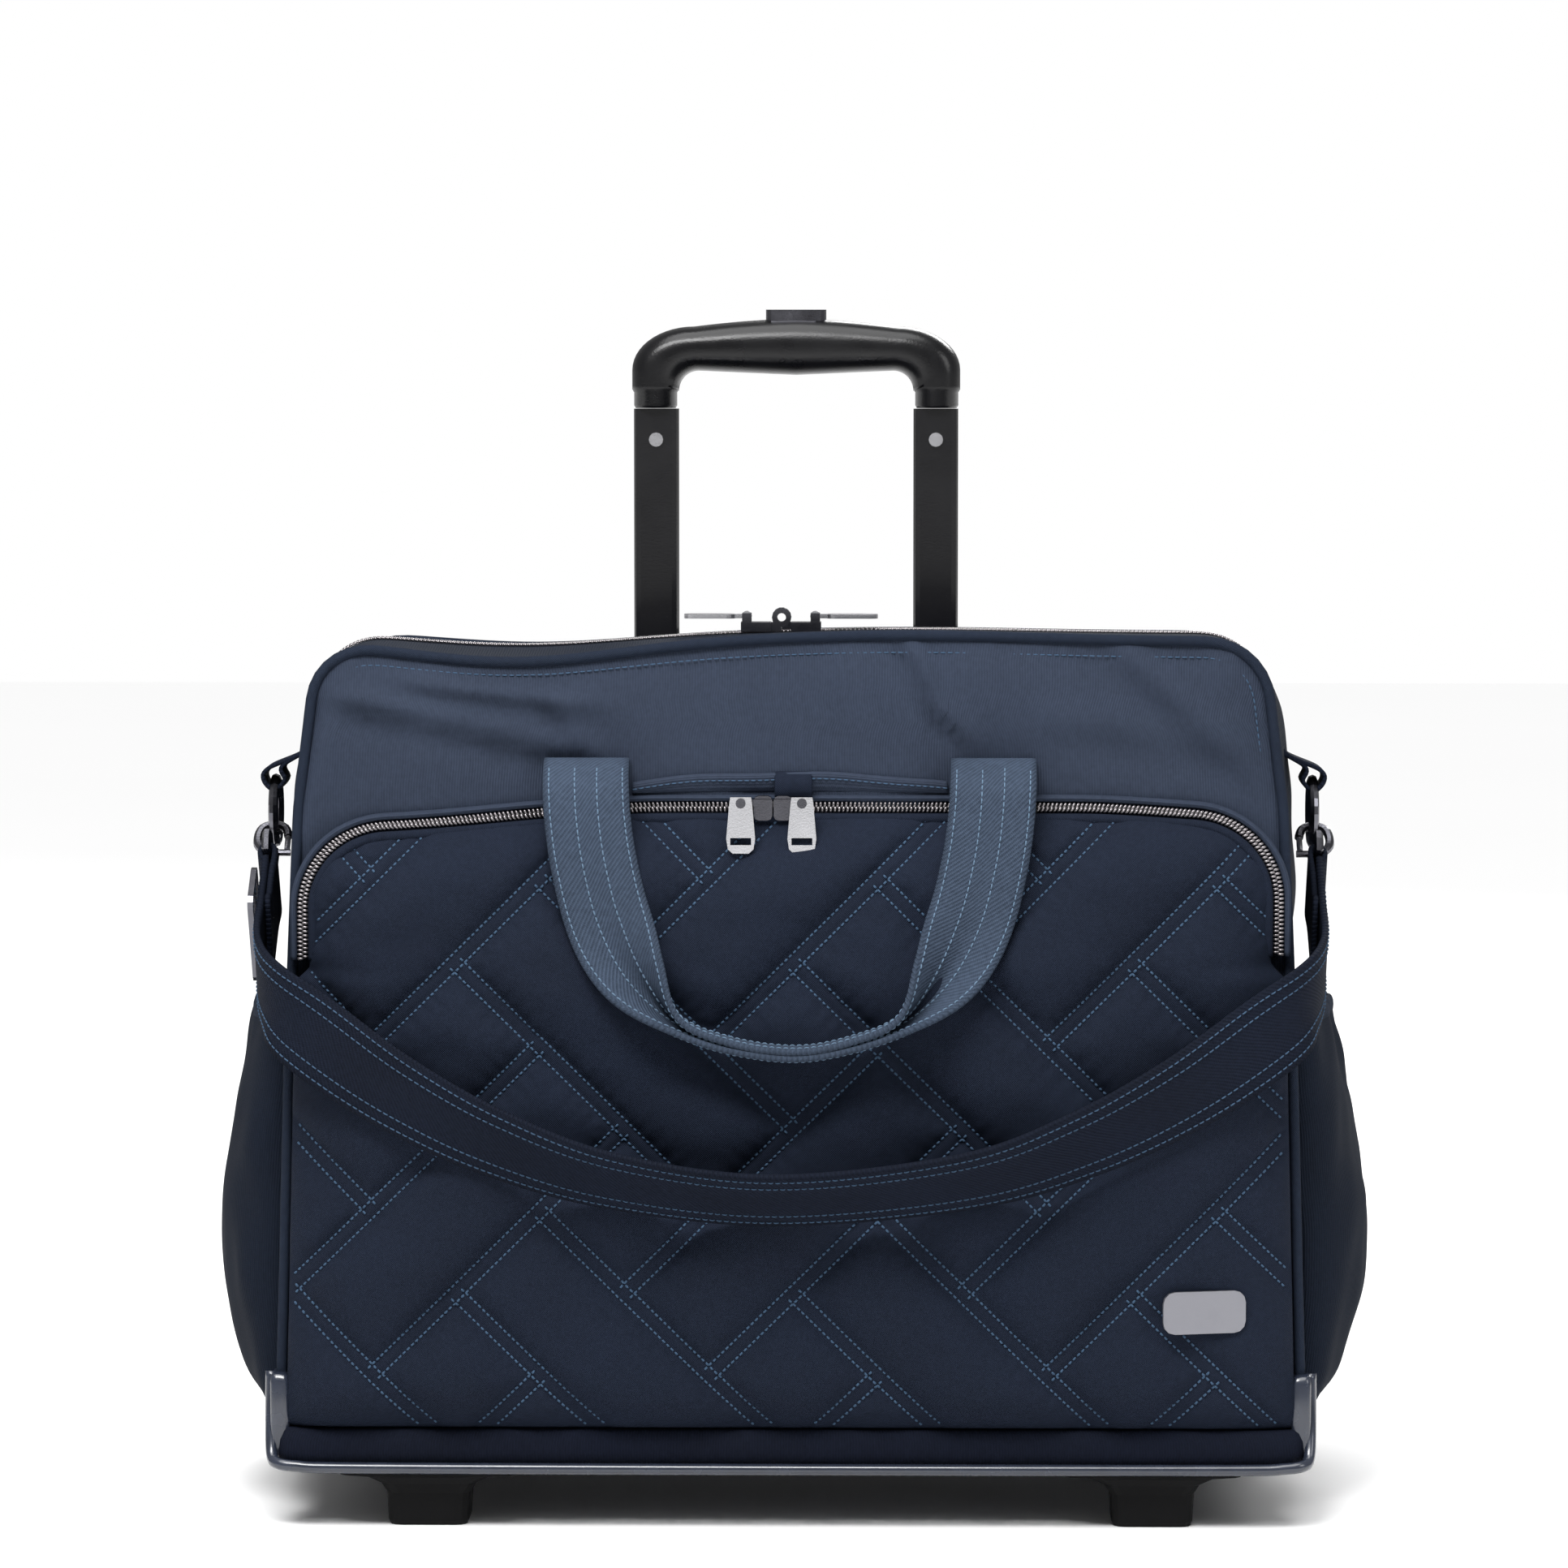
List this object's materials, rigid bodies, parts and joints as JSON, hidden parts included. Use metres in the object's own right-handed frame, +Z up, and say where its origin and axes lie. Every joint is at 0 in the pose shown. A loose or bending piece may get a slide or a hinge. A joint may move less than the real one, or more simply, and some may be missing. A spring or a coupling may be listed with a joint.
{
  "type": "softside upright suitcase",
  "caption": "Softside upright carry-on bag with quilted front pocket, telescopic handle, carry handles, shoulder strap, rear wheels and front feet.",
  "frame": {"origin": "centre of the bounding box at floor level", "axes": "+X to the right seen from the front, +Y to the back where the telescopic handle is, +Z up"},
  "size_m": [0.5046, 0.2744, 0.517],
  "materials": {
    "body_fabric": "fine woven nylon, navy",
    "quilted_fabric": "quilted woven nylon with double stitched channels",
    "webbing": "twill webbing with stitched rows",
    "vinyl": "glossy piping",
    "dark_metal": "polished gunmetal",
    "bright_metal": "polished nickel",
    "tube_metal": "gloss black anodised",
    "black_plastic": "satin moulded",
    "rubber": "matt moulded"
  },
  "bodies": {
    "bag": {"front_panel": "body_fabric", "side_gusset_left": "body_fabric", "side_gusset_right": "body_fabric", "back_panel": "body_fabric", "base_panel": "body_fabric", "top_front_gusset": "body_fabric", "main_zip_teeth_front": "dark_metal", "front_piping": "body_fabric", "base_trim": "vinyl", "badge_plate": "bright_metal", "front_pocket_gusset": "body_fabric", "pocket_zip_chain": "dark_metal", "front_pocket_pad": "quilted_fabric", "side_pocket_left": "body_fabric", "side_pocket_right": "body_fabric", "strap_tab_left": "webbing", "strap_tab_right": "webbing", "strap_ring_left": "dark_metal", "strap_ring_right": "dark_metal", "outer_tube_left": "tube_metal", "outer_tube_right": "tube_metal", "tube_bezel": "black_plastic", "tube_bracket": "black_plastic", "wheel_housing_left": "black_plastic", "wheel_housing_right": "black_plastic", "wheel_axle_left": "bright_metal", "wheel_axle_right": "bright_metal", "front_foot_left": "rubber", "front_foot_right": "rubber"},
    "flap": {"top_flap": "body_fabric", "main_zip_teeth_rear": "dark_metal"},
    "main_slider_l": {"main_slider_left": "dark_metal"},
    "main_slider_r": {"main_slider_right": "dark_metal"},
    "main_pull_l": {"main_pull_left": "bright_metal"},
    "main_pull_r": {"main_pull_right": "bright_metal"},
    "pocket_slider_l": {"pocket_slider_left": "dark_metal"},
    "pocket_slider_r": {"pocket_slider_right": "dark_metal"},
    "pocket_pull_l": {"pocket_pull_left": "bright_metal"},
    "pocket_pull_r": {"pocket_pull_right": "bright_metal"},
    "front_handle": {"front_carry_handle": "webbing"},
    "rear_handle": {"rear_carry_handle": "webbing"},
    "strap": {"shoulder_strap": "webbing", "strap_slide": "dark_metal", "strap_hook_left": "dark_metal", "strap_hook_right": "dark_metal"},
    "gate_l": {"hook_gate_left": "bright_metal"},
    "gate_r": {"hook_gate_right": "bright_metal"},
    "middle_stage": {"middle_tube_left": "tube_metal", "middle_tube_right": "tube_metal"},
    "upper_stage": {"upper_tube_left": "tube_metal", "upper_tube_right": "tube_metal", "trolley_grip": "black_plastic", "grip_fastener_left": "bright_metal", "grip_fastener_right": "bright_metal"},
    "button": {"trolley_button": "bright_metal"},
    "wheel_l": {"wheel_tyre_left": "rubber", "wheel_hub_left": "black_plastic"},
    "wheel_r": {"wheel_tyre_right": "rubber", "wheel_hub_right": "black_plastic"}
  },
  "joints": [
    {"name": "flap_opening", "type": "hinge", "parent": "bag", "child": "flap", "pos_m": [0, 0.07645, 0.3706], "axis": [-1, 0, 0], "range_deg": [0, 80]},
    {"name": "main_slider_left_travel", "type": "slide", "parent": "flap", "child": "main_slider_l", "axis": [-1, 0, 0], "range_m": [0, 0.14]},
    {"name": "main_slider_right_travel", "type": "slide", "parent": "flap", "child": "main_slider_r", "axis": [1, 0, 0], "range_m": [0, 0.14]},
    {"name": "main_pull_left_lift", "type": "hinge", "parent": "main_slider_l", "child": "main_pull_l", "pos_m": [-0.0195, -0.026, 0.3854], "axis": [0, 1, 0], "range_deg": [0, 100]},
    {"name": "main_pull_right_lift", "type": "hinge", "parent": "main_slider_r", "child": "main_pull_r", "pos_m": [0.01, -0.026, 0.3854], "axis": [0, -1, 0], "range_deg": [0, 100]},
    {"name": "pocket_slider_left_travel", "type": "slide", "parent": "bag", "child": "pocket_slider_l", "axis": [-1, 0, 0], "range_m": [0, 0.14]},
    {"name": "pocket_slider_right_travel", "type": "slide", "parent": "bag", "child": "pocket_slider_r", "axis": [1, 0, 0], "range_m": [0, 0.14]},
    {"name": "pocket_pull_left_swing", "type": "hinge", "parent": "pocket_slider_l", "child": "pocket_pull_l", "pos_m": [-0.0206, -0.0952, 0.3098], "axis": [0, 1, 0], "range_deg": [-60, 60]},
    {"name": "pocket_pull_right_swing", "type": "hinge", "parent": "pocket_slider_r", "child": "pocket_pull_r", "pos_m": [0.0052, -0.0952, 0.3098], "axis": [0, 1, 0], "range_deg": [-60, 60]},
    {"name": "front_handle_lift", "type": "hinge", "parent": "bag", "child": "front_handle", "pos_m": [0, -0.0775, 0.329], "axis": [-1, 0, 0], "range_deg": [0, 100]},
    {"name": "rear_handle_lift", "type": "hinge", "parent": "bag", "child": "rear_handle", "pos_m": [0, 0.1128, 0.329], "axis": [1, 0, 0], "range_deg": [0, 130]},
    {"name": "strap_swing", "type": "hinge", "parent": "bag", "child": "strap", "pos_m": [0, 0.014, 0.298], "axis": [-1, 0, 0], "range_deg": [0, 52]},
    {"name": "gate_left_open", "type": "hinge", "parent": "strap", "child": "gate_l", "pos_m": [-0.2205, -0.00602, 0.28236], "axis": [0, -0.6157, 0.788], "range_deg": [0, 20], "stiffness_Nm_per_rad": 0.02, "springref_deg": -11.46},
    {"name": "gate_right_open", "type": "hinge", "parent": "strap", "child": "gate_r", "pos_m": [0.2205, -0.00602, 0.28236], "axis": [0, 0.6157, -0.788], "range_deg": [0, 20], "stiffness_Nm_per_rad": 0.02, "springref_deg": -11.46},
    {"name": "middle_stage_travel", "type": "slide", "parent": "bag", "child": "middle_stage", "axis": [0, 0, 1], "range_m": [0, 0.25]},
    {"name": "upper_stage_travel", "type": "slide", "parent": "middle_stage", "child": "upper_stage", "axis": [0, 0, 1], "range_m": [-0.1, 0.16]},
    {"name": "button_press", "type": "slide", "parent": "upper_stage", "child": "button", "axis": [0, 0, -1], "range_m": [0, 0.004], "stiffness_N_per_m": 600, "springref_m": -0.002},
    {"name": "wheel_left_spin", "type": "hinge", "parent": "bag", "child": "wheel_l", "pos_m": [-0.153, 0.1, 0.025], "axis": [1, 0, 0], "continuous": true},
    {"name": "wheel_right_spin", "type": "hinge", "parent": "bag", "child": "wheel_r", "pos_m": [0.153, 0.1, 0.025], "axis": [1, 0, 0], "continuous": true}
  ]
}
